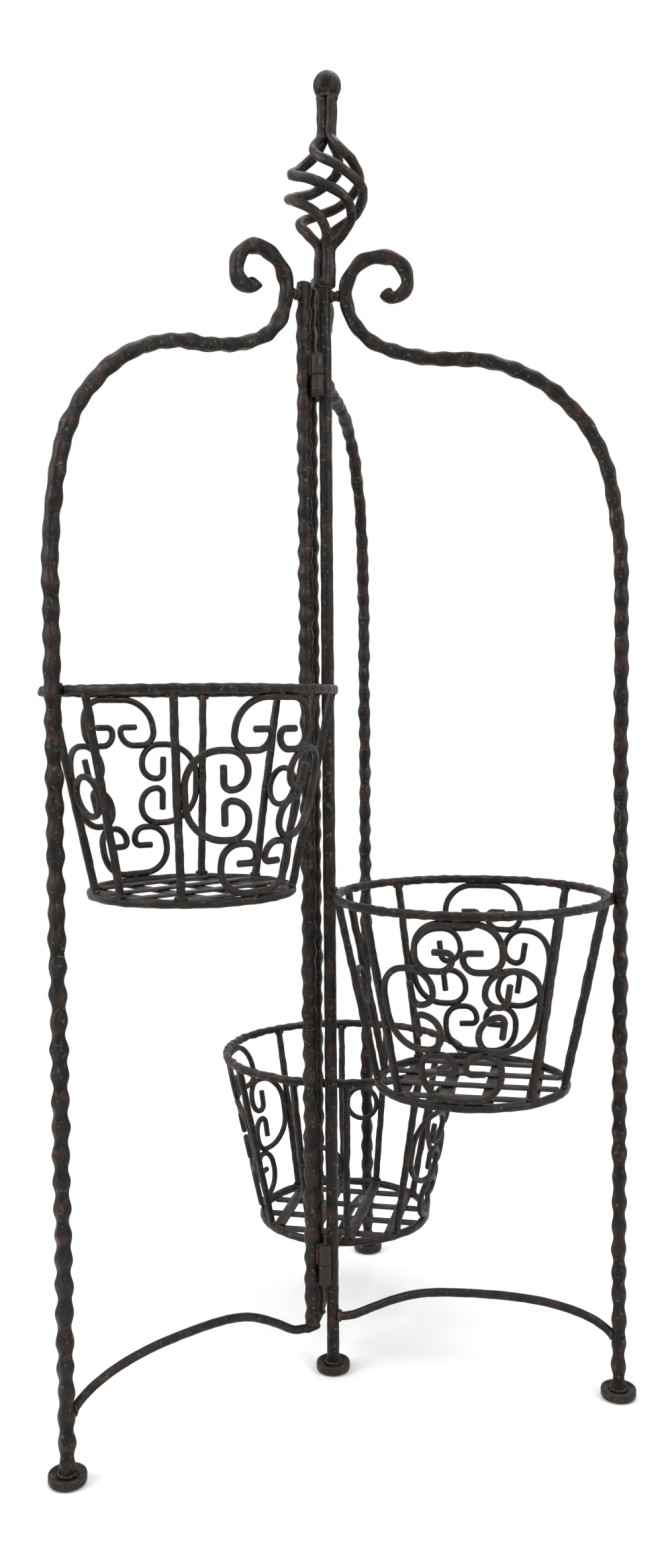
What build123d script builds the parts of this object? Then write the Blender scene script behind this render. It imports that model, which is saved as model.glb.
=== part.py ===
from build123d import *
from math import cos, dist, hypot, pi, radians, sin, sqrt
import os

# Folding plant stand in forged iron: three tall wings hinged on one centre post.
# Each wing has a post, an arched leg that ends in a scroll, a stretcher and one pot basket.
# Millimetres. The origin is on the floor under the centre post, +X runs along the fixed
# wing and +Z is up. The wings stand opened out round the centre post, as in use.

# Posts and bars
CENTRE_POST_DIAMETER = 12.5
CENTRE_POST_TOP = 1093.0
WING_POST = 14.0
WING_POST_CORNER = 4.5
WING_POST_TOP = 1097.0
ARCH_BAR = 13.5
ARCH_BAR_CORNER = 3.5

# Feet
FOOT_DIAMETER = 35.0
FOOT_HEIGHT = 9.5
FOOT_EDGE = 2.5
FOOT_DISH_DIAMETER = 27.0
FOOT_DISH_DEPTH = 1.5

# Arched leg: it rises straight, bends over, dips and rolls up into a scroll
LEG_STRAIGHT_TOP = 792.0
SHOULDER_RADIUS = 460.0
SHOULDER_TURN = 13.0
ARCH_TURN = 75.0
DIP_RADIUS = 200.0
DIP_TURN = 21.4
NECK_RADIUS = 59.5
NECK_TURN = SHOULDER_TURN + ARCH_TURN - DIP_TURN
SCROLL_RADIUS = 32.0
SCROLL_FLAT = 3.0
SCROLL_SIDE_RADIUS = 26.5
SCROLL_INNER_RADIUS = 13.5
SCROLL_TIP_RADIUS = 9.0
SCROLL_TIP_TURN = 55.0
SCROLL_TIP_LENGTH = 3.0
SCROLL_STUB_DIAMETER = 9.0
SCROLL_STUB_LENGTH = 8.1
SCROLL_STUB_DROP = 4.0

# Stretchers, the thin bowed rods that tie post and leg near the floor
STRETCHER_DIAMETER = 8.5
STRETCHER_BEND = 44.0
STRETCHER_CROWN = 90.5
STRETCHER_LEG_HEIGHT = 61.0
FIXED_STRETCHER_HEIGHT = 57.0
FIXED_STRETCHER_LEVEL = 19.0
HINGED_STRETCHER_HEIGHT = 46.5
HINGED_STRETCHER_LEVEL = 10.0
STRETCHER_TAIL = 8.0

# Baskets
RIM_DIAMETER = 274.4
BASE_RING_DIAMETER = 194.4
RING_ROD = 8.5
BASKET_HEIGHT = 185.0
FIXED_RIM_HEIGHT = 493.0
LEFT_RIM_HEIGHT = 696.0
BACK_RIM_HEIGHT = 290.0
BASKET_BAR = 7.0
BAR_CLOSE_ANGLE = 12.5
BAR_EDGE_ANGLE = 48.0
WELD_SINK = 0.3

# Basket floor, flat strips laid across each other
STRIP_WIDTH = 13.0
STRIP_THICKNESS = 2.5
STRIP_PITCH = 41.5
STRIP_COUNT = 4

# Scrolls in the basket sides, and the small rings between the close bars
SCROLL_ROD = 6.3
SCROLL_LENGTH = 86.0
SCROLL_DEPTH = 52.0
SIDE_SCROLL_SPACE = 37.0
SIDE_SCROLL_ANGLE = 25.0
SCROLL_TOUCH = 0.15
SCROLL_INSET = 3.5
SIDE_SCROLL_INSET = 2.0
HOOK_GAP = 3.4
O_RING_ROD = 6.0
O_RING_DROP = 95.0

# Hinges, welded barrels, two on each hinged wing
BARREL_DIAMETER = 12.4
BARREL_LENGTH = 41.0
UPPER_HINGE_HEIGHT = 1005.5
LOWER_HINGE_HEIGHT = 114.0
BARREL_SPLIT_GAP = 0.4
PIN_DIAMETER = 6.0
PIN_CLEARANCE = 0.05
HINGE_GAP = 0.3
HINGE_ANGLE = 115.6
HINGE_ALONG = 5.5
WEB_WIDTH = 5.0
WEB_OFFSET = 3.0

# Plan directions of the wings, turning from +X towards +Y
FIXED_DIRECTION = 0.0
LEFT_DIRECTION = -126.0
BACK_DIRECTION = 90.0

# Finial, four rods bulged and twisted into a cage with a ball on top
BALL_DIAMETER = 28.0
BALL_SINK = 3.0
STRAND_DIAMETER = 8.5
STRAND_SPACE = 0.2
CAGE_FOOT = 34.0
CAGE_HEIGHT = 106.0
CAGE_NECK = 42.0
TWIST_BULGE = 30.5
TWIST_FULLNESS = 1.14
TWIST_ANGLE = 240.0
TWIST_EASE = 0.656
TWIST_START = 45.0
TWIST_STEPS = 8
TWIST_BEND = 9.0

RIM_RADIUS = (RIM_DIAMETER - RING_ROD) / 2
BASE_RADIUS = (BASE_RING_DIAMETER - RING_ROD) / 2
FLARE = RIM_RADIUS - BASE_RADIUS
SLANT = sqrt(BASKET_HEIGHT**2 + FLARE**2)
SEAT_HEIGHT = FOOT_HEIGHT - FOOT_DISH_DEPTH
CAGE_BOTTOM = CENTRE_POST_TOP + CAGE_FOOT
CAGE_TOP = CAGE_BOTTOM + CAGE_HEIGHT
STRAND_TOP = CAGE_TOP + CAGE_NECK
BALL_MIDDLE = STRAND_TOP + BALL_DIAMETER / 2 - BALL_SINK
UP = Vector(0, 0, 1)

os.makedirs("parts", exist_ok=True)


def write(piece, name):
    """Label a finished piece and write it under its name."""
    piece.part.label = name
    export_step(piece.part, f"parts/{name}.step")


def polar(radius, angle):
    """The plan point at a distance and direction from the centre post."""
    return Vector(radius * cos(radians(angle)), radius * sin(radians(angle)))


def upright(frame):
    """The plane of a wing: X outwards from its post, Y up."""
    return Plane(origin=frame.origin, x_dir=frame.x_dir, z_dir=-frame.y_dir)


def arch_radius():
    """The arch's radius that brings the scroll to a stub's length from the post."""
    over = SHOULDER_TURN + ARCH_TURN
    span = RIM_DIAMETER - 2 * WELD_SINK - SCROLL_STUB_LENGTH
    span -= SHOULDER_RADIUS * (1 - cos(radians(SHOULDER_TURN)))
    span -= DIP_RADIUS * (cos(radians(NECK_TURN)) - cos(radians(over)))
    span -= NECK_RADIUS * (1 - cos(radians(NECK_TURN)))
    return span / (cos(radians(SHOULDER_TURN)) - cos(radians(over)))


# Feet, posts and arched legs


def foot(name, frame, reach):
    """A thick disc with a dished top that the bar stands in."""
    radius = FOOT_DIAMETER / 2
    dish = FOOT_DISH_DIAMETER / 2
    profile = [
        (0, 0),
        (radius - FOOT_EDGE, 0),
        (radius, FOOT_EDGE),
        (radius, FOOT_HEIGHT - 1),
        (radius - 1, FOOT_HEIGHT),
        (dish, FOOT_HEIGHT),
        (dish - FOOT_DISH_DEPTH, SEAT_HEIGHT),
        (0, SEAT_HEIGHT),
    ]
    with BuildPart() as disc:
        with BuildSketch(upright(frame)):
            with BuildLine():
                Polyline(*[(reach + x, y) for x, y in profile], close=True)
            make_face()
        revolve(axis=Axis(frame.origin + frame.x_dir * reach, UP))
    write(disc, name)


def centre_post():
    with BuildPart() as post:
        with BuildSketch(Plane.XY.offset(SEAT_HEIGHT)):
            Circle(CENTRE_POST_DIAMETER / 2)
        extrude(amount=CENTRE_POST_TOP - SEAT_HEIGHT)
    write(post, "centre_post")


def wing_post(name, frame):
    """A hinged wing's post, which stands on the end of its stretcher."""
    bottom = HINGED_STRETCHER_HEIGHT + STRETCHER_DIAMETER / 2 - WELD_SINK
    with BuildPart() as post:
        with BuildSketch(frame.offset(bottom)):
            RectangleRounded(WING_POST, WING_POST, WING_POST_CORNER)
        extrude(amount=WING_POST_TOP - bottom)
    write(post, name)


def arch_bar(name, frame, reach):
    """Leg, arch and scroll in one bar. Gives the scroll's nearest point to the post."""
    side = upright(frame)
    with BuildPart() as bar:
        with BuildLine(side) as path:
            leg = Line((reach, SEAT_HEIGHT), (reach, LEG_STRAIGHT_TOP))
            shoulder = JernArc(leg @ 1, leg % 1, SHOULDER_RADIUS, SHOULDER_TURN)
            arch = JernArc(shoulder @ 1, shoulder % 1, arch_radius(), ARCH_TURN)
            dip = JernArc(arch @ 1, arch % 1, DIP_RADIUS, -DIP_TURN)
            neck = JernArc(dip @ 1, dip % 1, NECK_RADIUS, -NECK_TURN)
            scroll = JernArc(neck @ 1, neck % 1, SCROLL_RADIUS, -90)
            crown = Line(scroll @ 1, (scroll @ 1) + (scroll % 1) * SCROLL_FLAT)
            outer = JernArc(crown @ 1, crown % 1, SCROLL_SIDE_RADIUS, -90)
            inner = JernArc(outer @ 1, outer % 1, SCROLL_INNER_RADIUS, -90)
            tip = JernArc(inner @ 1, inner % 1, SCROLL_TIP_RADIUS, -SCROLL_TIP_TURN)
            Line(tip @ 1, (tip @ 1) + (tip % 1) * SCROLL_TIP_LENGTH)
        with BuildSketch(frame.offset(SEAT_HEIGHT)):
            with Locations((reach, 0)):
                RectangleRounded(ARCH_BAR, ARCH_BAR, ARCH_BAR_CORNER)
        sweep(path=path.line)
    write(bar, name)
    return side.to_local_coords(neck @ 1)


def scroll_stub(name, frame, post_half, scroll_side):
    """The short rod welded between a post and its scroll."""
    start = post_half - WELD_SINK
    end = scroll_side.X - ARCH_BAR / 2 + WELD_SINK
    origin = frame.origin + frame.x_dir * start + UP * (scroll_side.Y - SCROLL_STUB_DROP)
    with BuildPart() as stub:
        with BuildSketch(Plane(origin=origin, z_dir=frame.x_dir)):
            Circle(SCROLL_STUB_DIAMETER / 2)
        extrude(amount=end - start)
    write(stub, name)


def stretcher(name, frame, start, level, height, reach):
    """The bowed rod from the post to the leg."""
    points = [
        (start, height),
        (level, height),
        (0.275 * reach, 0.93 * STRETCHER_CROWN),
        (0.5 * reach, STRETCHER_CROWN),
        (0.74 * reach, 0.965 * STRETCHER_CROWN),
        (0.89 * reach, 0.84 * STRETCHER_CROWN),
        (reach - ARCH_BAR / 2 + WELD_SINK, STRETCHER_LEG_HEIGHT),
    ]
    with BuildPart() as rod:
        with BuildLine(upright(frame)) as path:
            FilletPolyline(*points, radius=STRETCHER_BEND)
        with BuildSketch(Plane(origin=path.line @ 0, z_dir=path.line % 0)):
            Circle(STRETCHER_DIAMETER / 2)
        sweep(path=path.line)
    write(rod, name)


# Baskets


def cone_plane(basket, angle, drop, inset):
    """A plane on the basket's side: X runs round it, Y up the slant and Z outwards."""
    radius = RIM_RADIUS - FLARE * drop / SLANT - inset
    height = BASKET_HEIGHT * (1 - drop / SLANT)
    turned = basket.rotated((0, 0, angle))
    out = turned.x_dir
    normal = out * (BASKET_HEIGHT / SLANT) - UP * (FLARE / SLANT)
    return Plane(origin=turned.origin + out * radius + UP * height, x_dir=turned.y_dir, z_dir=normal)


def hoop(name, basket, height, radius):
    """A rod ring round the basket."""
    with BuildPart() as ring:
        with BuildSketch(upright(basket)):
            with Locations((radius, height)):
                Circle(RING_ROD / 2)
        revolve(axis=Axis(basket.origin, UP))
    write(ring, name)


def basket_bars(name, basket):
    """Slanted bars: a close pair and an edge pair beside the leg, the same by the post."""
    start = SLANT - RING_ROD / 2 + WELD_SINK
    run = SLANT - RING_ROD + 2 * WELD_SINK
    with BuildPart() as bars:
        for side in (0, 180):
            for angle in (-BAR_EDGE_ANGLE, -BAR_CLOSE_ANGLE, BAR_CLOSE_ANGLE, BAR_EDGE_ANGLE):
                foot_plane = cone_plane(basket, side + angle, start, 0)
                with BuildSketch(Plane(origin=foot_plane.origin, z_dir=foot_plane.y_dir)):
                    Circle(BASKET_BAR / 2)
                extrude(amount=run)
    write(bars, name)


def floor_strips(name, basket, height, angle):
    """One layer of flat strips, cut round where they meet the base ring."""
    reach = BASE_RADIUS - RING_ROD / 2 + WELD_SINK
    with BuildPart() as strips:
        with BuildSketch(basket.offset(height).rotated((0, 0, angle))):
            with GridLocations(STRIP_PITCH, 1, STRIP_COUNT, 1):
                Rectangle(STRIP_WIDTH, 2 * reach)
            Circle(reach, mode=Mode.INTERSECT)
        extrude(amount=STRIP_THICKNESS)
    write(strips, name)


def c_moves(length, depth):
    """The bends of half a C, from the middle of its back: (radius, turn), or (0, length)."""
    half = (length - SCROLL_ROD) / 2
    deep = depth - SCROLL_ROD
    shoulder = 0.585 * deep
    heel = 0.32 * deep
    hook = 0.28 * deep
    curl = 0.118 * deep
    return (
        (0, half - shoulder),
        (shoulder, 90),
        (0, deep - shoulder - heel),
        (heel, 90),
        (0, half - heel - hook - (HOOK_GAP + SCROLL_ROD) / 2),
        (hook, 90),
        (curl, 90),
        (0, hook),
    )


def c_scroll(plane, length, depth):
    """The two halves of a C bent from rod, from the middle of its back to its hooks.

    The back runs along the plane's X through its origin and the hooks curl on the -Y side."""
    halves = []
    for side in (1, -1):
        moves = c_moves(length, depth)
        with BuildLine(plane) as path:
            piece = Line((0, 0), (side * moves[0][1], 0))
            for radius, amount in moves[1:]:
                if radius:
                    piece = JernArc(piece @ 1, piece % 1, radius, -side * amount)
                else:
                    piece = Line(piece @ 1, (piece @ 1) + (piece % 1) * amount)
        halves.append(path.line)
    return halves


def c_points(plane, length, depth, side, steps=20):
    """Points along half of a C's centre line, in space."""
    x, y, heading = 0.0, 0.0, 0.0
    points = []
    for radius, amount in c_moves(length, depth):
        turn = radians(amount) / steps if radius else 0.0
        stride = 2 * radius * sin(turn / 2) if radius else amount / steps
        for _ in range(steps):
            heading -= turn / 2
            x += stride * cos(heading)
            y += stride * sin(heading)
            heading -= turn / 2
            points.append(tuple(plane.from_local_coords((side * x, y, 0))))
    return points


def hoop_gap(points, radius, height):
    """The gap between a scroll and a ring of the basket."""
    nearest = min(hypot(hypot(x, y) - radius, z - height) for x, y, z in points)
    return nearest - (SCROLL_ROD + RING_ROD) / 2


def bar_gap(points):
    """The gap between a scroll and the edge bar beside the panel that faces +X."""
    edge = cone_plane(Plane.XY, 90 - BAR_EDGE_ANGLE, 0, 0)
    local = [edge.to_local_coords(Vector(*point)) for point in points]
    return min(hypot(point.X, point.Z) for point in local) - (SCROLL_ROD + BASKET_BAR) / 2


def scroll_gap(first, second):
    """The gap between two scrolls."""
    return min(dist(a, b) for a in first for b in second) - SCROLL_ROD


def side_plane(basket, middle, side, drop, offset):
    """The plane of a side scroll, its back beside the panel's edge bar."""
    flank = cone_plane(basket, middle + side * SIDE_SCROLL_ANGLE, drop, SIDE_SCROLL_INSET)
    origin = flank.origin + flank.x_dir * (side * offset)
    return Plane(origin=origin, x_dir=flank.y_dir * -side, z_dir=flank.z_dir)


def top_plane(basket, middle, drop):
    return cone_plane(basket, middle, drop, SCROLL_INSET)


def bottom_plane(basket, middle, drop):
    plane = cone_plane(basket, middle, drop, SCROLL_INSET)
    return Plane(origin=plane.origin, x_dir=-plane.x_dir, z_dir=plane.z_dir)


def fit_panel():
    """Seats the scrolls of a panel so that each one just meets its neighbours.

    Gives the drops of the top and bottom scrolls, and the side scrolls' drop, offset,
    length and depth."""
    top_drop = RING_ROD
    bottom_drop = SLANT - RING_ROD
    drop = SLANT / 2
    length = SLANT - SCROLL_DEPTH - 2 * RING_ROD - SCROLL_DEPTH / 2
    offset = RIM_RADIUS * 0.2
    for _ in range(60):
        radius = RIM_RADIUS - FLARE * drop / SLANT - SIDE_SCROLL_INSET
        inner = radius * sin(radians(SIDE_SCROLL_ANGLE)) - SIDE_SCROLL_SPACE / 2
        depth = inner + offset + SCROLL_ROD / 2
        flank = side_plane(Plane.XY, 0, 1, drop, offset)
        above = c_points(top_plane(Plane.XY, 0, top_drop), SCROLL_LENGTH, SCROLL_DEPTH, 1)
        below = c_points(bottom_plane(Plane.XY, 0, bottom_drop), SCROLL_LENGTH, SCROLL_DEPTH, -1)
        upper = c_points(flank, length, depth, -1)
        lower = c_points(flank, length, depth, 1)
        changes = (
            hoop_gap(above, RIM_RADIUS, BASKET_HEIGHT) + SCROLL_TOUCH,
            hoop_gap(below, BASE_RADIUS, 0) + SCROLL_TOUCH,
            scroll_gap(above, upper) + SCROLL_TOUCH,
            scroll_gap(below, lower) + SCROLL_TOUCH,
            bar_gap(upper[:40] + lower[:40]) + SCROLL_TOUCH,
        )
        top_drop -= changes[0]
        bottom_drop += changes[1]
        drop -= 0.4 * (changes[2] - changes[3])
        length += 0.7 * (changes[2] + changes[3])
        offset += changes[4]
        if max(abs(change) for change in changes) < 0.01:
            break
    return top_drop, bottom_drop, drop, offset, length, depth


def panel_scrolls(name, basket, middle, fit):
    """The four C scrolls of one panel: top, bottom and the two at its sides."""
    top_drop, bottom_drop, drop, offset, length, depth = fit
    scrolls = c_scroll(top_plane(basket, middle, top_drop), SCROLL_LENGTH, SCROLL_DEPTH)
    scrolls += c_scroll(bottom_plane(basket, middle, bottom_drop), SCROLL_LENGTH, SCROLL_DEPTH)
    for side in (1, -1):
        scrolls += c_scroll(side_plane(basket, middle, side, drop, offset), length, depth)
    with BuildPart() as panel:
        for half in scrolls:
            with BuildSketch(Plane(origin=half @ 0, z_dir=half % 0)):
                Circle(SCROLL_ROD / 2)
            sweep(path=half)
    write(panel, name)


def o_rings(name, basket):
    """The small rings held between the close bars, beside the leg and beside the post."""
    spread = (RIM_RADIUS - FLARE * O_RING_DROP / SLANT) * sin(radians(BAR_CLOSE_ANGLE))
    sag = (RIM_RADIUS - FLARE * O_RING_DROP / SLANT) * (1 - cos(radians(BAR_CLOSE_ANGLE)))
    radius = spread - BASKET_BAR / 2 - O_RING_ROD / 2 + WELD_SINK
    with BuildPart() as rings:
        for angle in (0, 180):
            plane = cone_plane(basket, angle, O_RING_DROP, sag)
            with BuildSketch(Plane(origin=plane.origin, x_dir=plane.x_dir, z_dir=-plane.y_dir)):
                with Locations((radius, 0)):
                    Circle(O_RING_ROD / 2)
            revolve(axis=Axis(plane.origin, plane.z_dir))
    write(rings, name)


def basket_set(wing, frame, reach, rim_height):
    """Everything in one wing's basket."""
    centre = frame.origin + frame.x_dir * (reach - (ARCH_BAR + RIM_DIAMETER) / 2 + WELD_SINK)
    basket = Plane(origin=centre + UP * (rim_height - BASKET_HEIGHT), x_dir=frame.x_dir, z_dir=UP)
    hoop(f"{wing}_basket_rim", basket, BASKET_HEIGHT, RIM_RADIUS)
    hoop(f"{wing}_basket_base_ring", basket, 0, BASE_RADIUS)
    basket_bars(f"{wing}_basket_bars", basket)
    floor_strips(f"{wing}_floor_strips_lower", basket, -STRIP_THICKNESS, 0)
    floor_strips(f"{wing}_floor_strips_upper", basket, 0, 90)
    panel_scrolls(f"{wing}_scrolls_right", basket, -90, panel_fit)
    panel_scrolls(f"{wing}_scrolls_left", basket, 90, panel_fit)
    o_rings(f"{wing}_o_rings", basket)


# Hinges


def knuckles(name, hinge, outward, offset, upper):
    """Half barrels on one hinge line, each with a web to the post that carries it."""
    seat = BARREL_DIAMETER / 2 + HINGE_GAP + WELD_SINK
    bore = PIN_DIAMETER / 2 + (PIN_CLEARANCE if upper else -PIN_CLEARANCE)
    with BuildPart() as barrels:
        for middle in (UPPER_HINGE_HEIGHT, LOWER_HINGE_HEIGHT):
            bottom = middle + BARREL_SPLIT_GAP / 2 if upper else middle - BARREL_LENGTH / 2
            with BuildSketch(Plane(origin=hinge + UP * bottom, x_dir=outward, z_dir=UP)):
                Circle(BARREL_DIAMETER / 2)
                with Locations((seat / 2, offset)):
                    Rectangle(seat, WEB_WIDTH)
                Circle(bore, mode=Mode.SUBTRACT)
            extrude(amount=(BARREL_LENGTH - BARREL_SPLIT_GAP) / 2)
    write(barrels, name)


def pins(name, hinge):
    """The pins, pressed into the lower half barrels."""
    with BuildPart() as pair:
        for middle in (UPPER_HINGE_HEIGHT, LOWER_HINGE_HEIGHT):
            with BuildSketch(Plane(origin=hinge + UP * (middle - BARREL_LENGTH / 2))):
                Circle(PIN_DIAMETER / 2)
            extrude(amount=BARREL_LENGTH)
    write(pair, name)


# Finial


def finial_strand(name, start_angle):
    """One rod of the cage, from the ball down to the centre post."""
    neck = (STRAND_DIAMETER + STRAND_SPACE) / sqrt(2)
    points = [polar(neck, start_angle) + UP * STRAND_TOP]
    for step in range(TWIST_STEPS + 1):
        t = step / TWIST_STEPS
        turn = TWIST_ANGLE * (t - TWIST_EASE * sin(2 * pi * t) / (2 * pi))
        radius = neck + TWIST_BULGE * max(sin(pi * t), 0) ** TWIST_FULLNESS
        height = CAGE_TOP - CAGE_HEIGHT * t
        points.append(polar(radius, start_angle + turn) + UP * height)
    points.append(polar(neck, start_angle + TWIST_ANGLE) + UP * (CENTRE_POST_TOP - WELD_SINK))
    with BuildPart() as strand:
        with BuildLine() as path:
            FilletPolyline(*points, radius=TWIST_BEND)
        with BuildSketch(Plane(origin=path.line @ 0, z_dir=path.line % 0)):
            Circle(STRAND_DIAMETER / 2)
        sweep(path=path.line)
    write(strand, name)


def finial_ball():
    with BuildPart() as ball:
        with BuildSketch(Plane.XZ):
            with Locations((0, BALL_MIDDLE)):
                Circle(BALL_DIAMETER / 2)
                with Locations((-BALL_DIAMETER / 2, 0)):
                    Rectangle(BALL_DIAMETER, BALL_DIAMETER, mode=Mode.SUBTRACT)
        revolve(axis=Axis.Z)
    write(ball, "finial_ball")


panel_fit = fit_panel()

# The fixed wing, built on the centre post

fixed_frame = Plane(origin=(0, 0, 0), x_dir=polar(1, FIXED_DIRECTION), z_dir=UP)
post_half = CENTRE_POST_DIAMETER / 2
fixed_reach = post_half + RIM_DIAMETER + ARCH_BAR / 2 - 2 * WELD_SINK
centre_post()
foot("centre_foot", fixed_frame, 0)
foot("fixed_foot", fixed_frame, fixed_reach)
scroll_side = arch_bar("fixed_arch_bar", fixed_frame, fixed_reach)
scroll_stub("fixed_scroll_stub", fixed_frame, post_half, scroll_side)
stretcher(
    "fixed_stretcher",
    fixed_frame,
    post_half - WELD_SINK,
    FIXED_STRETCHER_LEVEL,
    FIXED_STRETCHER_HEIGHT,
    fixed_reach,
)
basket_set("fixed", fixed_frame, fixed_reach, FIXED_RIM_HEIGHT)
finial_ball()
for number in range(4):
    finial_strand(f"finial_strand_{number + 1}", TWIST_START + 90 * number)

# The hinged wings: the hand tells on which side of its hinges the wing's post stands

for wing, direction, hand, rim_height in (
    ("left", LEFT_DIRECTION, -1, LEFT_RIM_HEIGHT),
    ("back", BACK_DIRECTION, 1, BACK_RIM_HEIGHT),
):
    hinge = polar(post_half + HINGE_GAP + BARREL_DIAMETER / 2, hand * HINGE_ANGLE)
    across = polar(1, direction + 90 * hand)
    along = polar(1, direction)
    post_at = hinge + along * HINGE_ALONG + across * (BARREL_DIAMETER / 2 + HINGE_GAP + WING_POST / 2)
    frame = Plane(origin=post_at, x_dir=along, z_dir=UP)
    reach = WING_POST / 2 + RIM_DIAMETER + ARCH_BAR / 2 - 2 * WELD_SINK
    wing_post(f"{wing}_post", frame)
    foot(f"{wing}_foot", frame, reach)
    scroll_side = arch_bar(f"{wing}_arch_bar", frame, reach)
    scroll_stub(f"{wing}_scroll_stub", frame, WING_POST / 2, scroll_side)
    stretcher(
        f"{wing}_stretcher",
        frame,
        -STRETCHER_TAIL,
        HINGED_STRETCHER_LEVEL,
        HINGED_STRETCHER_HEIGHT,
        reach,
    )
    basket_set(wing, frame, reach, rim_height)
    knuckles(f"{wing}_hinge_lower_knuckles", hinge, -hinge, 0, False)
    knuckles(f"{wing}_hinge_upper_knuckles", hinge, across, -hand * WEB_OFFSET, True)
    pins(f"{wing}_hinge_pins", hinge)
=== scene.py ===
from math import ceil, cos, degrees, pi, radians, sin, sqrt, tan

import bpy
from mathutils import Matrix, Vector, noise


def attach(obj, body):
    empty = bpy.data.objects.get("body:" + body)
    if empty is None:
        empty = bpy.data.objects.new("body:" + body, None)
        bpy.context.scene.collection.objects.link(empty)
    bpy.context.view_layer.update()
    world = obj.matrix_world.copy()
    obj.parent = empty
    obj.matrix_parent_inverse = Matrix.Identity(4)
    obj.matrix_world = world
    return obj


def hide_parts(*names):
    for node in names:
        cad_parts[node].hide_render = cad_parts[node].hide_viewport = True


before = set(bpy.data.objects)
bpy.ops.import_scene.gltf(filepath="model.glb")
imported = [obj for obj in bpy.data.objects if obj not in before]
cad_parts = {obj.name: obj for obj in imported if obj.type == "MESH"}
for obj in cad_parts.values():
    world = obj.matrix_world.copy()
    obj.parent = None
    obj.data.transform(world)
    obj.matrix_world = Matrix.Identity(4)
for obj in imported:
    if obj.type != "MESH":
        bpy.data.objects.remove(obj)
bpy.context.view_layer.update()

# Lengths are in millimetres, angles in degrees, and meshes are made in metres.
MM = 0.001
UP = Vector((0, 0, 1))

# Bars: half their thickness, and the heights they stand between
SEAT = 8.0
POST_HALF = 6.25
POST_TOP = 1093.0
WING_HALF = 7.0
WING_POST_FOOT, WING_POST_TOP = 50.5, 1097.0
BAR_HALF = 6.75

# A wing: half the room between its post and leg, how deep the leg sits on the rim, and the
# way back from the leg to its scroll
HALF_BAY = 137.2
LEG_BITE = 0.6
SCROLL_SPAN = 265.7
STUB_HEIGHT = 1083.5

# Hinge lines beside the centre post, the wing's post as seen from them, and the barrels' ends
# above and below the middle of each hinge
HINGE_OUT, HINGE_TURN = 12.75, 115.6
ARM_ALONG, ARM_ACROSS = 5.5, 13.5
HINGE_HEIGHTS = (1005.5, 114.0)
BARREL_GAP, BARREL_END = 0.25, 20.4
BARREL_RADIUS, BARREL_LIP, BORE = 6.15, 5.7, 3.1
PIN = ((1.6, -20.5), (2.9, -20.0), (2.95, 20.0), (1.6, 20.5))

# Baskets
RIM_RADIUS = 132.95
BASE_RADIUS = 92.95
BASKET_HEIGHT = 185.0
SLANT = sqrt(BASKET_HEIGHT**2 + (RIM_RADIUS - BASE_RADIUS) ** 2)
BASKET_SEAT = 136.9
MEAN_RADIUS = 113.0
PAIR_ANGLE, EDGE_ANGLE = 12.5, 48.0
SLANT_BAR_END = 2.2
SLANT_BAR_STEPS = 60
SMALL_RING_DROP = 95.0
SMALL_RING_ROD = 3.0
SMALL_RING_STEPS = 48
STRIP_WIDTH, STRIP_THICKNESS, STRIP_PITCH = 13.0, 2.4, 41.5
STRIP_LIFT = 1.25
STRIP_REACH, STRIP_WELD_REACH = 89.0, 89.6

# C scrolls of the panels: rod thickness, then length and depth of each kind
SCROLL_ROD = 6.3
TOP_C = (88.0, 53.0)
LOW_C = (82.0, 52.0)
SIDE_C = (86.0, 62.0)
SIDE_MIDDLE = 93.0
SIDE_TURN = 42.0
BACK_DROP = 7.1

# Stretchers: the crown, where they land on the leg, and shares of reach and height on the way
CROWN = 91.5
LANDING = 61.5
RISING = ((0.09, 0.12), (0.16, 0.40), (0.22, 0.62), (0.285, 0.81), (0.36, 0.93), (0.45, 0.99))
FALLING = ((0.56, 1.005), (0.66, 0.998), (0.75, 0.97), (0.83, 0.92), (0.90, 0.845), (0.95, 0.755))

# Finial: a twisted cage of four rods under a ball, leaning a little off the post
NECK = 6.15
NECK_TOP, NECK_LOW = 1275.0, 1256.0
CAGE_TOP = 1236.5
CAGE_HEIGHT = 106.0
CAGE_BULGE = 31.5
CAGE_START = 46.0
TWIST = 250.0
ROD_FOOT = 1112.0
LEAN, LEAN_WAY = 1.2, 12.0
BALL_MIDDLE, BALL_RADIUS, BALL_RISE = 1286.0, 13.9, 13.95
BALL_STEPS = 22

# Turned foot, from its underside up to the bar's seat: (radius, height)
FOOT = (
    (14.6, 0.0),
    (16.6, 1.0),
    (17.4, 2.8),
    (17.4, 7.4),
    (16.9, 9.0),
    (15.6, 9.5),
    (13.9, 9.3),
    (12.4, 8.1),
    (1.0, 8.0),
)

# Bends of the leg from its foot to the scroll's tip: (0, length) or (radius, turn)
ARCH = (
    (0, 784.0),
    (460.0, 13.0),
    (155.0, 75.0),
    (200.0, -21.4),
    (59.5, -66.6),
    (32.0, -90.0),
    (0, 3.0),
    (26.5, -90.0),
    (13.5, -90.0),
    (9.0, -55.0),
    (0, 3.0),
)


def polar(radius, angle, z=0.0):
    return Vector((radius * cos(radians(angle)), radius * sin(radians(angle)), z))


class Wing:
    """One upright plane: where its post stands, the way out to the leg, and its basket's axis."""

    def __init__(self, name, origin, angle, half, rim):
        self.name, self.body = name, name + "_wing"
        self.origin, self.angle, self.half, self.rim = origin, angle, half, rim
        self.out = polar(1, angle)
        self.side = polar(1, angle + 90)
        self.reach = half + 2 * HALF_BAY + BAR_HALF - LEG_BITE
        self.centre = origin + self.out * (half + BASKET_SEAT)

    def at(self, s, z):
        return self.origin + self.out * s + UP * z


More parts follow.
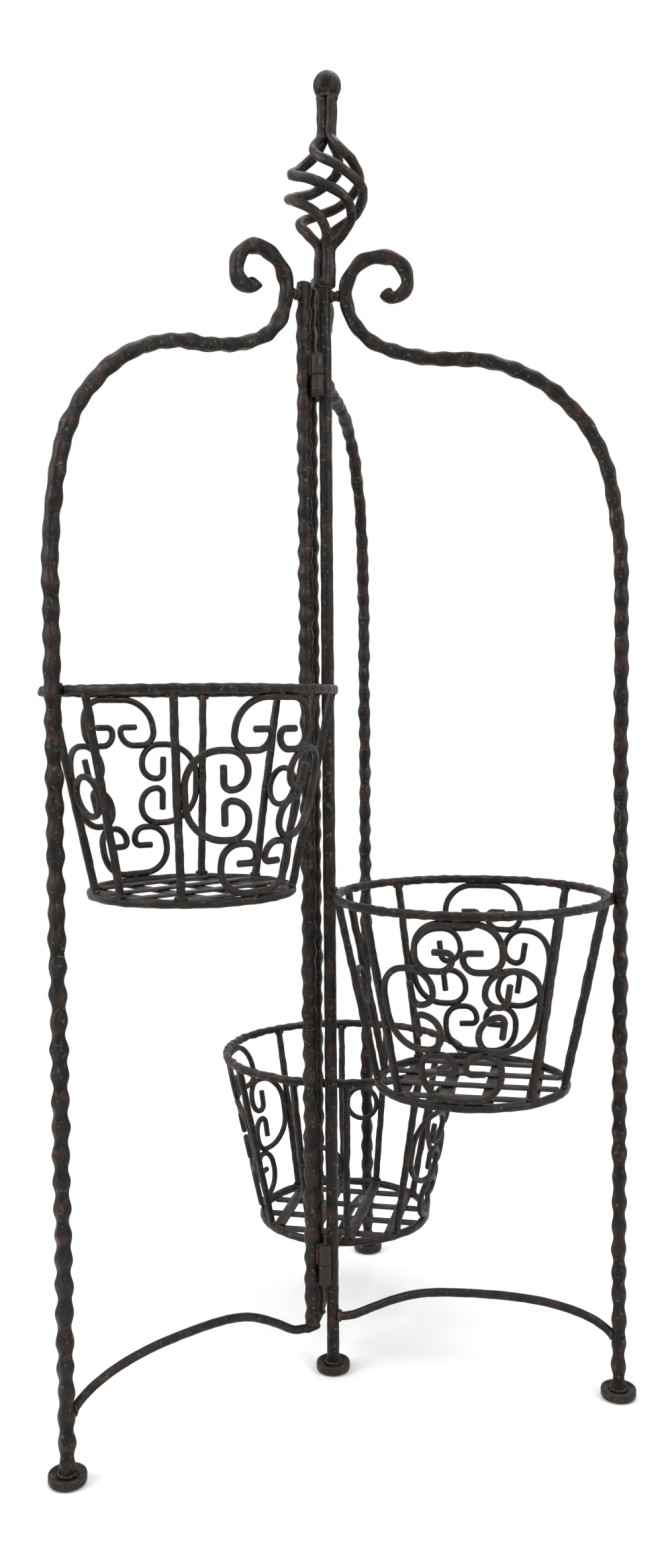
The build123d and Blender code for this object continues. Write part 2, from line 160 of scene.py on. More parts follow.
def hinged(name, angle, hand, rim):
    """A wing on a hinge line to one hand of the fixed wing."""
    line = polar(HINGE_OUT, hand * HINGE_TURN)
    origin = line + polar(ARM_ALONG, angle) + polar(ARM_ACROSS, angle + 90 * hand)
    wing = Wing(name, origin, angle, WING_HALF, rim)
    wing.line, wing.hand = line, hand
    return wing


fixed = Wing("fixed", Vector((0, 0, 0)), 0.0, POST_HALF, 493.0)
left = hinged("left", -126.0, -1, 696.0)
back = hinged("back", 90.0, 1, 290.0)


# Finishes


def iron(name, base, rust, rust_share, dust, dust_share, grain=1.0):
    """Old forged iron: near-black oxide, red-brown rust in patches, and a painted grey sheen (a painted
    highlight) on the ridges.
    """
    mat = bpy.data.materials.new(name)
    mat.use_nodes = True
    nodes, links = mat.node_tree.nodes, mat.node_tree.links
    shader = nodes["Principled BSDF"]
    place = nodes.new("ShaderNodeTexCoord")

    def speckle(scale, detail):
        tex = nodes.new("ShaderNodeTexNoise")
        tex.inputs["Scale"].default_value = scale
        tex.inputs["Detail"].default_value = detail
        links.new(place.outputs["Object"], tex.inputs["Vector"])
        return tex.outputs["Fac"]

    def spread(value, low, high, to_low=0.0, to_high=1.0):
        node = nodes.new("ShaderNodeMapRange")
        node.inputs["From Min"].default_value = low
        node.inputs["From Max"].default_value = high
        node.inputs["To Min"].default_value = to_low
        node.inputs["To Max"].default_value = to_high
        links.new(value, node.inputs["Value"])
        return node.outputs["Result"]

    def mix(factor, first, second):
        node = nodes.new("ShaderNodeMix")
        node.data_type = "RGBA"
        links.new(factor, node.inputs[0])
        for value, socket in ((first, node.inputs[6]), (second, node.inputs[7])):
            if isinstance(value, tuple):
                socket.default_value = (*value, 1)
            else:
                links.new(value, socket)
        return node.outputs[2]

    bloom = tuple(channel * 2.0 for channel in base)
    edge = nodes.new("ShaderNodeNewGeometry")
    colour = mix(spread(speckle(38, 6.0), 0.40, 0.62), base, bloom)
    colour = mix(spread(speckle(95, 6.0), 0.53, 0.66, 0.0, rust_share), colour, rust)
    colour = mix(spread(speckle(260, 3.0), 0.60, 0.70, 0.0, dust_share), colour, dust)
    # Painted highlight: a grey sheen mixed into the colour on edges and ridges, where pointiness is high.
    colour = mix(spread(edge.outputs["Pointiness"], 0.52, 0.62, 0.0, 0.55), colour, (0.058, 0.050, 0.044))
    links.new(colour, shader.inputs["Base Color"])
    shader.inputs["Metallic"].default_value = 0.30
    shader.inputs["Specular IOR Level"].default_value = 0.24
    links.new(spread(speckle(70, 6.0), 0.35, 0.65, 0.36, 0.62), shader.inputs["Roughness"])
    pits = nodes.new("ShaderNodeBump")
    pits.inputs["Strength"].default_value = 0.35 * grain
    pits.inputs["Distance"].default_value = 0.0008
    links.new(speckle(420, 4.0), pits.inputs["Height"])
    links.new(pits.outputs["Normal"], shader.inputs["Normal"])
    return mat


BAR_IRON = iron(
    "hammered_iron",
    base=(0.0052, 0.0040, 0.0034),
    rust=(0.044, 0.016, 0.009),
    rust_share=0.7,
    dust=(0.085, 0.080, 0.052),
    dust_share=0.7,
)
ROD_IRON = iron(
    "rod_iron",
    base=(0.0056, 0.0044, 0.0037),
    rust=(0.038, 0.017, 0.010),
    rust_share=0.55,
    dust=(0.080, 0.074, 0.050),
    dust_share=0.6,
)
WELD_IRON = iron(
    "weld_iron",
    base=(0.0085, 0.0058, 0.0046),
    rust=(0.070, 0.026, 0.011),
    rust_share=0.8,
    dust=(0.08, 0.07, 0.05),
    dust_share=0.5,
    grain=1.6,
)
HEAVY = (BAR_IRON, WELD_IRON)
LIGHT = (ROD_IRON, WELD_IRON)
BAR_SLOT, WELD_SLOT = 0, 1


# Meshes


class Shape:
    """Collects bars, turned forms and weld beads into one mesh."""

    def __init__(self):
        self.points, self.faces, self.slots = [], [], []

    def add_rings(self, rings, closed=False, slot=BAR_SLOT):
        first = len(self.points)
        size = len(rings[0])
        for ring in rings:
            self.points.extend(ring)
        for i in range(len(rings) if closed else len(rings) - 1):
            a, b = first + i * size, first + ((i + 1) % len(rings)) * size
            for j in range(size):
                k = (j + 1) % size
                self.faces.append((a + j, a + k, b + k, b + j))
                self.slots.append(slot)
        if not closed:
            last = first + (len(rings) - 1) * size
            self.faces.append(tuple(first + j for j in range(size))[::-1])
            self.faces.append(tuple(last + j for j in range(size)))
            self.slots.extend((slot, slot))

    def rod(self, path, section, normal=None, closed=False, slot=BAR_SLOT, bevel=0.8):
        """A bar along path. section(travel) gives (a, b) offsets; normal fixes its flat side."""
        count = len(path)
        tangents = []
        for i in range(count):
            ahead = path[(i + 1) % count] if closed or i + 1 < count else path[i]
            behind = path[i - 1] if closed or i > 0 else path[i]
            tangents.append((ahead - behind).normalized())
        side = normal or tangents[0].orthogonal().normalized()
        rings, travel = [], 0.0
        for i in range(count):
            if i:
                travel += (path[i] - path[i - 1]).length
            if normal is None:
                side = (side - tangents[i] * side.dot(tangents[i])).normalized()
            other = tangents[i].cross(side).normalized()
            across = other.cross(tangents[i])
            rings.append([path[i] + across * a + other * b for a, b in section(travel)])
        if not closed:
            for end, inner in ((0, 1), (-1, -2)):
                centre, step = path[end], (path[end] - path[inner]).normalized()
                tip = [centre + (p - centre) * 0.72 for p in rings[end]]
                rings[end] = [p - step * bevel for p in rings[end]]
                if end == 0:
                    rings.insert(0, tip)
                else:
                    rings.append(tip)
        self.add_rings(rings, closed, slot)

    def lathe(self, profile, at, sides=40, rough=0.25, closed=False):
        """A turned form about the upright through at; profile is (radius, height) pairs."""
        rings = []
        for radius, height in profile:
            ring = []
            for j in range(sides):
                angle = 360 * j / sides
                place = polar(2, angle, height * 0.3 + at.x)
                push = 1 - rough * 0.03 * (1 + noise.noise(place))
                ring.append(at + polar(radius * push, angle, height))
            rings.append(ring)
        self.add_rings(rings, closed)

    def weld(self, at, size, stretch, seed):
        """A lumpy weld bead, drawn out along stretch."""
        axis = stretch.normalized()
        side = axis.orthogonal().normalized()
        other = axis.cross(side)
        long = size * max(1.0, stretch.length)
        rings = []
        for i in range(1, 7):
            a = pi * i / 7
            ring = []
            for j in range(9):
                b = 2 * pi * j / 9
                place = Vector((3 * cos(a), 3 * sin(a) * cos(b), at.x + at.z + 3 * sin(b) + seed))
                lump = 1 + 0.22 * noise.noise(place)
                spot = axis * (-cos(a) * long) + (side * cos(b) + other * sin(b)) * (sin(a) * size)
                ring.append(at + spot * lump)
            rings.append(ring)
        self.add_rings(rings, slot=WELD_SLOT)

    def collar(self, wing, at, count, radius, size, stretch, seed=0.0):
        """Weld beads round a rod that runs out along the wing."""
        for k in range(count):
            angle = radians(360 * k / count)
            around = wing.side * cos(angle) + UP * sin(angle)
            self.weld(at + around * radius, size, around.cross(wing.out) * stretch, k + seed)

    def girdle(self, at, count, radius, size, stretch, seed=0.0):
        """Weld beads round an upright bar."""
        for k in range(count):
            angle = 360 * k / count + seed
            self.weld(at + polar(radius, angle), size, polar(1, angle + 90) * stretch, k + seed)

    def finish(self, name, body, nodes, materials):
        mesh = bpy.data.meshes.new(name)
        mesh.from_pydata([p * MM for p in self.points], [], self.faces)
        for mat in materials:
            mesh.materials.append(mat)
        mesh.polygons.foreach_set("material_index", self.slots)
        mesh.polygons.foreach_set("use_smooth", [True] * len(self.faces))
        mesh.update()
        obj = bpy.data.objects.new(name, mesh)
        bpy.context.scene.collection.objects.link(obj)
        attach(obj, body)
        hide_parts(*nodes)


def squared(half, roundness, hammer, pitch, seed, sides=12, wave=0.0, calm=None):
    """Section of a square bar worked over with a hammer, so facets and ridges run round it.

    The bar swells and narrows by wave once every pitch, and less so beyond calm."""

    def section(travel):
        beat = travel / pitch + 0.16 * noise.noise(Vector((seed, 0, travel / 70)))
        calmed = 0.0 if calm is None else min(1.0, max(0.0, (travel - calm) / 450.0))
        swell = wave * (1 - 0.48 * calmed) * sin(2 * pi * beat + seed)
        result = []
        for j in range(sides):
            a = 2 * pi * (j + 0.5) / sides
            c, s = cos(a), sin(a)
            reach = half / (abs(c) ** roundness + abs(s) ** roundness) ** (1 / roundness)
            cell = noise.voronoi(Vector((c * 0.8 + seed, s * 0.8, travel / pitch)))[0][0]
            corner = min(1.0, 2 * abs(c * s))
            reach += hammer * (cell - 0.42) * (0.6 + 0.9 * corner) + swell * (0.75 + 0.30 * corner)
            result.append((c * reach, s * reach))
        return result

    return section


def rounded(radius, seed, rough, sides=12):
    """Section of a plain rod with a little unevenness."""

    def section(travel):
        result = []
        for j in range(sides):
            a = 2 * pi * j / sides
            push = 1 + rough * noise.noise(Vector((cos(a), sin(a), travel / 9 + seed)))
            result.append((cos(a) * radius * push, sin(a) * radius * push))
        return result

    return section


def flat(width, thickness, seed):
    """Section of a flat strip with softened edges."""
    w, t = width / 2, thickness / 2

    def section(travel):
        bend = 0.25 * noise.noise(Vector((travel / 16, seed, 0)))
        outline = ((w, t * 0.4), (w - 0.8, t), (0, t), (-w + 0.8, t), (-w, t * 0.4))
        return [(a, b + bend) for a, b in outline] + [(-a, -b + bend) for a, b in outline]

    return section


def trace(x, y, heading, moves, step):
    """Points of a bent line: moves are (0, length) for a straight or (radius, turn)."""
    points = [(x, y)]
    heading = radians(heading)
    for radius, amount in moves:
        turn = 0.0 if radius == 0 else radians(amount)
        length = amount if radius == 0 else radius * abs(turn)
        count = max(1, ceil(length / step), ceil(abs(degrees(turn)) / 9))
        chord = length / count if radius == 0 else 2 * radius * sin(abs(turn) / count / 2)
        for _ in range(count):
            heading += turn / count / 2
            x, y = x + chord * cos(heading), y + chord * sin(heading)
            heading += turn / count / 2
            points.append((x, y))
    return points


def soften(points, step=3.0):
    """A smooth line through points, evenly spaced."""
    ends = [points[0] * 2 - points[1]] + list(points) + [points[-1] * 2 - points[-2]]
    result = []
    for i in range(1, len(ends) - 2):
        a, b, c, d = ends[i - 1 : i + 3]
        count = max(1, ceil((c - b).length / step))
        for k in range(count):
            t = k / count
            bend, twist = 2 * a - 5 * b + 4 * c - d, 3 * b - a - 3 * c + d
            result.append(0.5 * ((2 * b) + (c - a) * t + bend * t**2 + twist * t**3))
    result.append(points[-1])
    return result


def straight(foot, top, step=3.5):
    count = ceil((top - foot).length / step)
    return [foot + (top - foot) * (i / count) for i in range(count + 1)]


# Posts, legs, stretchers and feet


def foot(name, body, at, bar, seed):
    shape = Shape()
    shape.lathe(FOOT, at)
    shape.girdle(at + UP * (SEAT + 0.6), 14, bar + 0.9, 1.9, 1.4, seed)
    shape.finish(name + "_foot_plate", body, [name + "_foot"], HEAVY)


def centre():
    shape = Shape()
    section = squared(half=6.1, roundness=2.3, hammer=0.9, pitch=16, seed=3.1, sides=18)
    shape.rod(straight(UP * SEAT, UP * POST_TOP), section, normal=Vector((1, 0, 0)))
    shape.girdle(UP * (POST_TOP - 0.5), 10, 5.6, 2.4, 1.3)
    shape.finish("centre_bar", "fixed_wing", ["centre_post"], HEAVY)


def post(wing, seed):
    shape = Shape()
    section = squared(half=6.3, roundness=2.7, hammer=1.5, pitch=21, seed=seed, sides=20, wave=0.8)
    path = straight(wing.at(0, WING_POST_FOOT), wing.at(0, WING_POST_TOP), 2.8)
    shape.rod(path, section, normal=wing.side)
    shape.finish(wing.name + "_upright", wing.body, [wing.name + "_post"], HEAVY)


def leg(wing, seed):
    """The arched leg with its scroll, hammered all along."""
    shape = Shape()
    path = [wing.at(s, z) for s, z in trace(wing.reach, SEAT, 90, ARCH, 2.8)]
    section = squared(
        half=6.2, roundness=3.0, hammer=1.9, pitch=23.5, seed=seed, sides=20, wave=1.05, calm=420.0
    )
    shape.rod(path, section, normal=wing.side, bevel=1.5)
    shape.finish(wing.name + "_leg", wing.body, [wing.name + "_arch_bar"], HEAVY)


def stub(wing, seed):
    """The short rod that ties the scroll's side to the post."""
    shape = Shape()
    start, end = wing.half, wing.reach - SCROLL_SPAN - BAR_HALF
    path = straight(wing.at(start - 1.0, STUB_HEIGHT), wing.at(end + 1.0, STUB_HEIGHT), 1.5)
    shape.rod(path, rounded(4.4, seed, 0.10))
    shape.collar(wing, wing.at(start + 1.2, STUB_HEIGHT), 6, 3.4, 2.232, 1.5, seed)
    shape.collar(wing, wing.at(end - 0.8, STUB_HEIGHT), 6, 3.4, 2.108, 1.5, seed)
    shape.finish(wing.name + "_scroll_tie", wing.body, [wing.name + "_scroll_stub"], LIGHT)


def stretcher(wing, start, level, height, seed):
    """The thin tie near the floor: level at the post, bowed up, then down to the leg."""
    knots = [(start, height), (level * 0.6, height), (level, height + 1.5)]
    knots += [(out * wing.reach, height + up * (CROWN - height)) for out, up in RISING]
    knots += [(out * wing.reach, up * CROWN) for out, up in FALLING]
    knots.append((wing.reach - BAR_HALF + 0.5, LANDING))
    shape = Shape()
    shape.rod(soften([wing.at(s, z) for s, z in knots]), rounded(4.2, seed, 0.06, 14))
    shape.collar(wing, wing.at(wing.reach - BAR_HALF - 0.8, LANDING + 1.0), 7, 3.7, 2.2, 1.4)
    if wing is fixed:
        shape.collar(wing, wing.at(POST_HALF + 1.0, height), 7, 3.9, 2.4, 1.5)
    else:
        shape.girdle(wing.at(0, height + 4.9), 9, 5.4, 2.3, 1.5)
    shape.finish(wing.name + "_bowed_tie", wing.body, [wing.name + "_stretcher"], LIGHT)


# Baskets


def cone_radius(drop):
    return RIM_RADIUS - (RIM_RADIUS - BASE_RADIUS) * drop / SLANT


def cone(wing, angle, drop):
    """A point on the basket's side, drop down the slant from the rim."""
    height = wing.rim - BASKET_HEIGHT * drop / SLANT
    return wing.centre + polar(cone_radius(drop), wing.angle + angle, height)


def circle(wing, radius, z):
    count = ceil(2 * pi * radius / 3.2)
    return [wing.centre + polar(radius, wing.angle + 360 * k / count, z) for k in range(count)]


def hoops(wing, seed):
    """The rim, welded to post and leg, and the smaller ring at the basket's base."""
    rim = Shape()
    section = squared(half=3.95, roundness=3.0, hammer=1.2, pitch=15.0, seed=seed, sides=14, wave=0.3)
    rim.rod(circle(wing, RIM_RADIUS, wing.rim), section, normal=UP, closed=True)
    for side in (0, 180):
        for k in range(5):
            height = wing.rim + 4.4 * cos(radians(36 * k))
            spot = wing.centre + polar(RIM_RADIUS + 3.6, wing.angle + side, height)
            rim.weld(spot, 2.25, wing.side * 1.8, k + side)
    rim.finish(wing.name + "_rim", wing.body, [wing.name + "_basket_rim"], HEAVY)
    base = Shape()
    section = squared(half=4.0, roundness=2.4, hammer=1.0, pitch=14.0, seed=seed + 2)
    base.rod(circle(wing, BASE_RADIUS, wing.rim - BASKET_HEIGHT), section, normal=UP, closed=True)
    base.finish(wing.name + "_base_hoop", wing.body, [wing.name + "_basket_base_ring"], LIGHT)


def slant_bars(wing, seed):
    """Eight bars from rim to base: two pairs and their edge bars, to the post and to the leg."""
    bars = Shape()
    for side in (0, 180):
        for k, angle in enumerate((-EDGE_ANGLE, -PAIR_ANGLE, PAIR_ANGLE, EDGE_ANGLE)):
            path = []
            for i in range(SLANT_BAR_STEPS + 1):
                drop = SLANT_BAR_END + (SLANT - 2 * SLANT_BAR_END) * i / SLANT_BAR_STEPS
                sway = 0.5 * noise.noise(Vector((drop / 40, seed + k, side)))
                path.append(cone(wing, side + angle + degrees(sway / MEAN_RADIUS), drop))
            bars.rod(path, squared(half=3.45, roundness=2.7, hammer=0.9, pitch=13, seed=seed + k + side))
            for drop in (5.2, SLANT - 5.2):
                for turn in (-1, 1):
                    spot = cone(wing, side + angle + turn * degrees(3.4 / cone_radius(drop)), drop)
                    bars.weld(spot, 1.9, polar(1, wing.angle + side + angle + 90) * 1.5, k + turn)
    bars.finish(wing.name + "_slant_bars", wing.body, [wing.name + "_basket_bars"], LIGHT)


def floor_strips(wing, label, turn, lift, seed):
    """Four flat strips side by side across the base ring, welded at both ends."""
    strips = Shape()
    level = wing.centre + UP * (wing.rim - BASKET_HEIGHT + lift)
    along, across = polar(1, wing.angle + turn), polar(1, wing.angle + turn + 90)
    for k in range(4):
        offset = (k - 1.5) * STRIP_PITCH
        half = sqrt(STRIP_REACH**2 - (abs(offset) + 3.0) ** 2)
        middle = level + across * offset
        path = straight(middle - along * half, middle + along * half, 5.0)
        strips.rod(path, flat(STRIP_WIDTH, STRIP_THICKNESS, seed + k), normal=across, bevel=0.5)
        for end in (-1, 1):
            for shift in (-4.0, 0.0, 4.0):
                reach = sqrt(STRIP_WELD_REACH**2 - (offset + shift) ** 2)
                spot = level + across * (offset + shift) + along * end * reach
                strips.weld(spot, 1.5, across * 1.6, k + shift)
    strips.finish(f"{wing.name}_strips_{label}", wing.body, [f"{wing.name}_floor_strips_{label}"], LIGHT)


def c_line(size):
    """A C scroll: a flat back, rounded shoulders and hooks that curl in at both tips."""
    half, deep = (size[0] - SCROLL_ROD) / 2, size[1] - SCROLL_ROD
    shoulder, heel, hook, curl = 0.585 * deep, 0.32 * deep, 0.28 * deep, 0.118 * deep
    moves = (
        (0, half - shoulder),
        (shoulder, -90),
        (0, deep - shoulder - heel),
        (heel, -90),
        (0, half - heel - hook - 4.85),
        (hook, -90),
        (curl, -90),
        (0, hook),
    )
    right = trace(0, 0, 0, moves, 2.6)
    return [(-x, y) for x, y in right[:0:-1]] + right


def panel_lines(wing, middle):
    """Centre lines of a panel's four C scrolls, laid on the flare."""
    lines = []
    for size, edge, way in ((TOP_C, BACK_DROP, 1), (LOW_C, SLANT - BACK_DROP, -1)):
        line = []
        for x, y in c_line(size):
            drop = edge - way * y
            line.append(cone(wing, middle + degrees(x / cone_radius(drop)), drop))
        lines.append(line)
    for side in (1, -1):
        line = []
        for x, y in c_line(SIDE_C):
            drop = SIDE_MIDDLE + x
            turn = SIDE_TURN - degrees((6.5 - y) / cone_radius(drop))
            line.append(cone(wing, middle + side * turn, drop))
        lines.append(line)
    return lines


def panel(wing, middle, label, seed):
    """Four C scrolls between two edge bars: one at the rim, one at the base, two at the sides."""
    shape = Shape()
    lines = panel_lines(wing, middle)
    for k, line in enumerate(lines):
        shape.rod(line, rounded(SCROLL_ROD / 2, seed + k, 0.05, 10))
    level = polar(1, wing.angle + middle + 90) * 1.8
    spots = [(cone(wing, middle, 4.2), level), (cone(wing, middle, SLANT - 4.2), level)]
    for side_line in lines[2:]:
        for other in lines[:2]:
            pairs = (((p - q).length, p, q) for p in side_line for q in other)
            gap, p, q = min(pairs, key=lambda pair: pair[0])
            joint = (p + q) / 2
            spots.append((joint, (p - q).cross(joint - wing.centre).normalized() * 1.5))
            if gap > SCROLL_ROD + 0.3:
                shape.rod(straight(p, q, 1.0), rounded(2.6, seed, 0.1, 8), slot=WELD_SLOT)
    slope = (cone(wing, middle, 0) - cone(wing, middle, SLANT)).normalized() * 2.2
    for side in (1, -1):
        turn = SIDE_TURN - degrees(3.2 / cone_radius(SIDE_MIDDLE))
        spots.append((cone(wing, middle + side * turn, SIDE_MIDDLE), slope))
    for k, (spot, way) in enumerate(spots):
        shape.weld(spot, 2.3, way, seed + k)
    shape.finish(f"{wing.name}_panel_{label}", wing.body, [f"{wing.name}_scrolls_{label}"], LIGHT)


def small_rings(wing, seed):
    """A ring between the two bars of each pair."""
    rings = Shape()
    drop, rod = SMALL_RING_DROP, SMALL_RING_ROD
    radius = cone_radius(drop) * sin(radians(PAIR_ANGLE)) - 3.5 - rod + 0.2
    inset = cone_radius(drop) * (1 - cos(radians(PAIR_ANGLE)))
    for side in (0, 180):
        over = polar(1, wing.angle + side + 90)
        rise = (cone(wing, side, 0) - cone(wing, side, SLANT)).normalized()
        middle = cone(wing, side, drop) - polar(1, wing.angle + side) * inset
        path = []
        for k in range(SMALL_RING_STEPS):
            angle = 2 * pi * k / SMALL_RING_STEPS
            path.append(middle + (over * cos(angle) + rise * sin(angle)) * radius)
        rings.rod(path, rounded(rod, seed, 0.05, 10), normal=over.cross(rise), closed=True)
        for turn in (-1, 1):
            rings.weld(middle + over * turn * (radius + rod), 2.0, rise * 1.9, turn)
    rings.finish(wing.name + "_small_rings", wing.body, [wing.name + "_o_rings"], LIGHT)


def basket(wing, seed):
    hoops(wing, seed)
    slant_bars(wing, seed)
    floor_strips(wing, "lower", 90, -STRIP_LIFT, seed)
    floor_strips(wing, "upper", 0, STRIP_LIFT, seed)
    panel(wing, -90, "right", seed)
    panel(wing, 90, "left", seed + 4)
    small_rings(wing, seed)


# Hinges


def barrels(wing, word, body, ends, toward, weld_at):
    """One half of both hinges of a wing, with the weld lines that hold it to its post."""
    shape = Shape()
    for middle in HINGE_HEIGHTS:
        low, high = middle + ends[0], middle + ends[1]
        outline = (
            (BORE, low),
            (BARREL_LIP, low),
            (BARREL_RADIUS, low + 0.6),
            (BARREL_RADIUS, high - 0.6),
            (BARREL_LIP, high),
            (BORE, high),
        )
        shape.lathe(outline, wing.line, sides=28, rough=0.12, closed=True)
        for k in range(8):
            height = low + 1.5 + (high - low - 3.0) * k / 7
            for turn in (-1, 1):
                spot = wing.line + UP * height + weld_at + toward.cross(UP) * (turn * 1.4)
                shape.weld(spot, 1.75, UP * 1.35, k + turn)
    shape.finish(f"{wing.name}_barrels_{word}", body, [f"{wing.name}_hinge_{word}_knuckles"], LIGHT)


def hinge(wing):
    """Lower barrels on the centre post, upper barrels on the wing's post, and their pins."""
    inward = (-wing.line).normalized()
    barrels(wing, "lower", "fixed_wing", (-BARREL_END, -BARREL_GAP), inward, inward * 5.7)
    toward = polar(1, wing.angle + 90 * wing.hand)
    barrels(wing, "upper", wing.body, (BARREL_GAP, BARREL_END), toward, toward * 5.8 + wing.out * 3.0)
    pins = Shape()
    for middle in HINGE_HEIGHTS:
        pins.lathe([(radius, middle + z) for radius, z in PIN], wing.line, sides=20, rough=0.0)
    pins.finish(f"{wing.name}_pin_pair", "fixed_wing", [f"{wing.name}_hinge_pins"], LIGHT)


# Finial


def leaning(point):
    """Shifts a point of the finial sideways by its height above the post."""
    return point + polar((point.z - POST_TOP) * tan(radians(LEAN)), LEAN_WAY)


def cage_rod(number):
    """One of four rods: straight at the neck, twisted round the bulge, then down to the post."""
    start = CAGE_START + 90 * number
    knots = [polar(NECK, start, NECK_TOP), polar(NECK, start, NECK_LOW)]
    for k in range(9):
        t = k / 8
        turn = TWIST * (t - 0.656 * sin(2 * pi * t) / (2 * pi))
        radius = NECK + CAGE_BULGE * max(sin(pi * t), 0) ** 1.14
        knots.append(polar(radius, start + turn, CAGE_TOP - CAGE_HEIGHT * t))
    knots.append(polar(NECK, start + TWIST, ROD_FOOT))
    knots.append(polar(NECK, start + TWIST, POST_TOP - 0.2))
    shape = Shape()
    section = squared(half=4.5, roundness=2.8, hammer=0.7, pitch=12, seed=number * 2.3)
    shape.rod(soften([leaning(knot) for knot in knots], 2.2), section)
    if number == 0:
        for k in range(8):
            shape.weld(polar(5.2, 45 * k + 20, POST_TOP + 3.0 + k % 3), 2.8, UP * 1.5, k)
    shape.finish(f"cage_rod_{number + 1}", "fixed_wing", [f"finial_strand_{number + 1}"], HEAVY)


def ball():
    shape = Shape()
    outline = []
    for k in range(1, BALL_STEPS):
        angle = pi * k / BALL_STEPS
        outline.append((max(0.8, BALL_RADIUS * sin(angle)), BALL_MIDDLE - BALL_RISE * cos(angle)))
    shape.lathe(outline, leaning(UP * BALL_MIDDLE) - UP * BALL_MIDDLE, rough=0.5)
    shape.girdle(leaning(UP * (NECK_TOP - 0.4)), 10, 9.0, 2.2, 1.5)
    shape.finish("top_ball", "fixed_wing", ["finial_ball"], HEAVY)


centre()
foot("centre", "fixed_wing", Vector((0, 0, 0)), POST_HALF, 0.3)
for index, wing in enumerate((fixed, left, back)):
    leg(wing, 1.7 + 5.3 * index)
    stub(wing, 1.7 + 5.3 * index)
    foot(wing.name, wing.body, wing.at(wing.reach, 0), BAR_HALF, 1.1 + index)
    basket(wing, 2.9 + 7.7 * index)
stretcher(fixed, POST_HALF - 0.3, 19.0, 57.0, 0.4)
for index, wing in enumerate((left, back)):
    stretcher(wing, -8.0, 10.0, 46.5, 3.4 + index)
    post(wing, 12.4 + 3.3 * index)
    hinge(wing)
for number in range(4):
    cage_rod(number)
ball()


# Studio: pale floor, white surround and soft light


def seen_directly(tree):
    """One where a camera, mirror or see-through ray looks, nought for light that bounces."""
    rays = tree.nodes.new("ShaderNodeLightPath")
    total = rays.outputs["Is Camera Ray"]
    for kind in ("Is Glossy Ray", "Is Transmission Ray"):
        either = tree.nodes.new("ShaderNodeMath")
        either.operation = "MAXIMUM"
        tree.links.new(total, either.inputs[0])
        tree.links.new(rays.outputs[kind], either.inputs[1])
        total = either.outputs[0]
    return total


def soft_light(name, place, target, size, power):
    light = bpy.data.lights.new(name, "AREA")
    light.shape = "RECTANGLE"
    light.size, light.size_y = size
    light.energy = power
    obj = bpy.data.objects.new(name, light)
    obj.location = place
    obj.rotation_euler = (Vector(target) - Vector(place)).to_track_quat("-Z", "Y").to_euler()
    bpy.context.scene.collection.objects.link(obj)


# The floor fades from pale paint near the stand to white further off, in metres.
FLOOR_HALF = 6.0
FLOOR_LEVEL = -0.0005
FADE_START, FADE_END = 0.45, 1.5

corners = [(x * FLOOR_HALF, y * FLOOR_HALF, FLOOR_LEVEL) for x, y in ((-1, -1), (1, -1), (1, 1), (-1, 1))]
floor_mesh = bpy.data.meshes.new("floor")
floor_mesh.from_pydata(corners, [], [(0, 1, 2, 3)])
floor = bpy.data.objects.new("floor", floor_mesh)
bpy.context.scene.collection.objects.link(floor)
floor_mat = bpy.data.materials.new("floor_paint")
floor_mat.use_nodes = True
tree = floor_mat.node_tree
paint = tree.nodes["Principled BSDF"]
paint.inputs["Base Color"].default_value = (0.93, 0.93, 0.93, 1)
paint.inputs["Roughness"].default_value = 0.9
glow = tree.nodes.new("ShaderNodeEmission")
glow.inputs["Color"].default_value = (1, 1, 1, 1)
glow.inputs["Strength"].default_value = 1.0
spot = tree.nodes.new("ShaderNodeTexCoord")
away = tree.nodes.new("ShaderNodeVectorMath")
away.operation = "LENGTH"
tree.links.new(spot.outputs["Object"], away.inputs[0])
fade = tree.nodes.new("ShaderNodeMapRange")
fade.interpolation_type = "SMOOTHSTEP"
fade.inputs["From Min"].default_value = FADE_START
fade.inputs["From Max"].default_value = FADE_END
tree.links.new(away.outputs["Value"], fade.inputs["Value"])
shown = tree.nodes.new("ShaderNodeMath")
shown.operation = "MULTIPLY"
tree.links.new(fade.outputs["Result"], shown.inputs[0])
tree.links.new(seen_directly(tree), shown.inputs[1])
blend = tree.nodes.new("ShaderNodeMixShader")
tree.links.new(shown.outputs[0], blend.inputs[0])
tree.links.new(paint.outputs[0], blend.inputs[1])
tree.links.new(glow.outputs[0], blend.inputs[2])
tree.links.new(blend.outputs[0], tree.nodes["Material Output"].inputs["Surface"])
floor_mesh.materials.append(floor_mat)

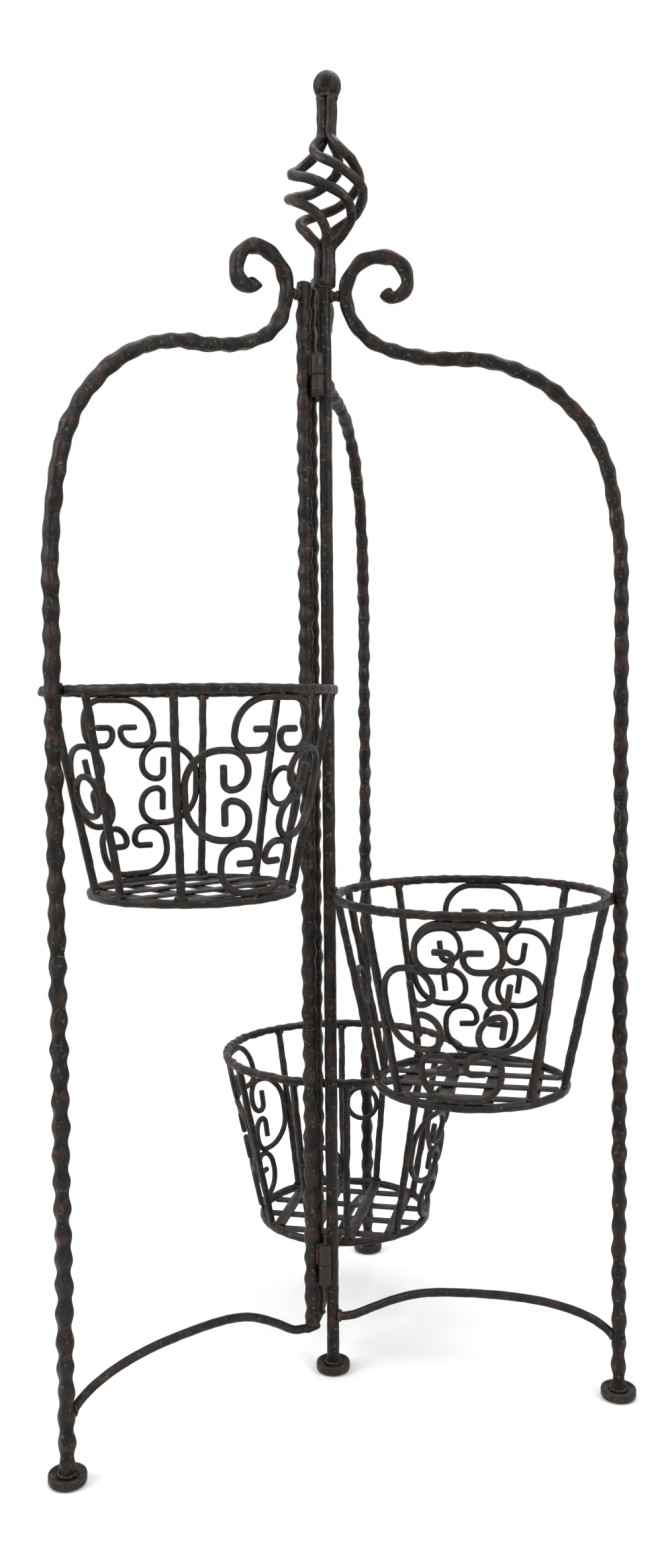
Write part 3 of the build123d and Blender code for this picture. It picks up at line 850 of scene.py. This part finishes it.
world = bpy.data.worlds.new("studio")
bpy.context.scene.world = world
world.use_nodes = True
tree = world.node_tree
tree.nodes.clear()
surround = tree.nodes.new("ShaderNodeOutputWorld")
seen = tree.nodes.new("ShaderNodeBackground")
seen.inputs["Color"].default_value = (1, 1, 1, 1)
seen.inputs["Strength"].default_value = 1.0
lit = tree.nodes.new("ShaderNodeBackground")
lit.inputs["Color"].default_value = (0.97, 0.98, 1, 1)
lit.inputs["Strength"].default_value = 0.6
either = tree.nodes.new("ShaderNodeMixShader")
tree.links.new(seen_directly(tree), either.inputs[0])
tree.links.new(lit.outputs[0], either.inputs[1])
tree.links.new(seen.outputs[0], either.inputs[2])
tree.links.new(either.outputs[0], surround.inputs["Surface"])

soft_light("window_left", (-2.4, -1.6, 2.2), (0, 0, 0.7), (1.8, 2.4), 86)
soft_light("window_right", (2.4, -1.2, 1.9), (0, 0, 0.7), (1.4, 2.2), 46)
soft_light("overhead", (0.2, 0.3, 3.4), (0, 0, 0.6), (2.4, 2.4), 60)


# Camera at the photograph's viewing angle: distance and height in metres, angles in radians

CAMERA_BACK, CAMERA_HEIGHT = 1.3244, 0.6753
YAW, PITCH, ROLL, TURN = 0.0041, 0.0544, -0.0079, radians(11.98)
PHOTO_HEIGHT = 2370.0
FOCAL_LENGTH = 1994.9
SENSOR = 36.0

camera = bpy.data.cameras.new("camera")
camera.sensor_fit = "AUTO"
camera.sensor_width = SENSOR
camera.lens = SENSOR * FOCAL_LENGTH / PHOTO_HEIGHT
camera.clip_start, camera.clip_end = 0.05, 50
eye = bpy.data.objects.new("camera", camera)
bpy.context.scene.collection.objects.link(eye)
bpy.context.scene.camera = eye
ahead = Vector((sin(YAW), cos(YAW), 0))
aside = Vector((cos(YAW), -sin(YAW), 0))
look = ahead * cos(PITCH) - UP * sin(PITCH)
above = ahead * sin(PITCH) + UP * cos(PITCH)
aside_rolled = aside * cos(ROLL) + above * sin(ROLL)
above_rolled = above * cos(ROLL) - aside * sin(ROLL)
turn = Matrix.Rotation(TURN, 3, "Z")
axes = Matrix((turn @ aside_rolled, turn @ above_rolled, turn @ (look * -1))).transposed()
position = turn @ Vector((0, -CAMERA_BACK, 0)) + UP * CAMERA_HEIGHT
eye.matrix_world = Matrix.Translation(position) @ axes.to_4x4()

view = bpy.context.scene.view_settings
view.view_transform = "Standard"
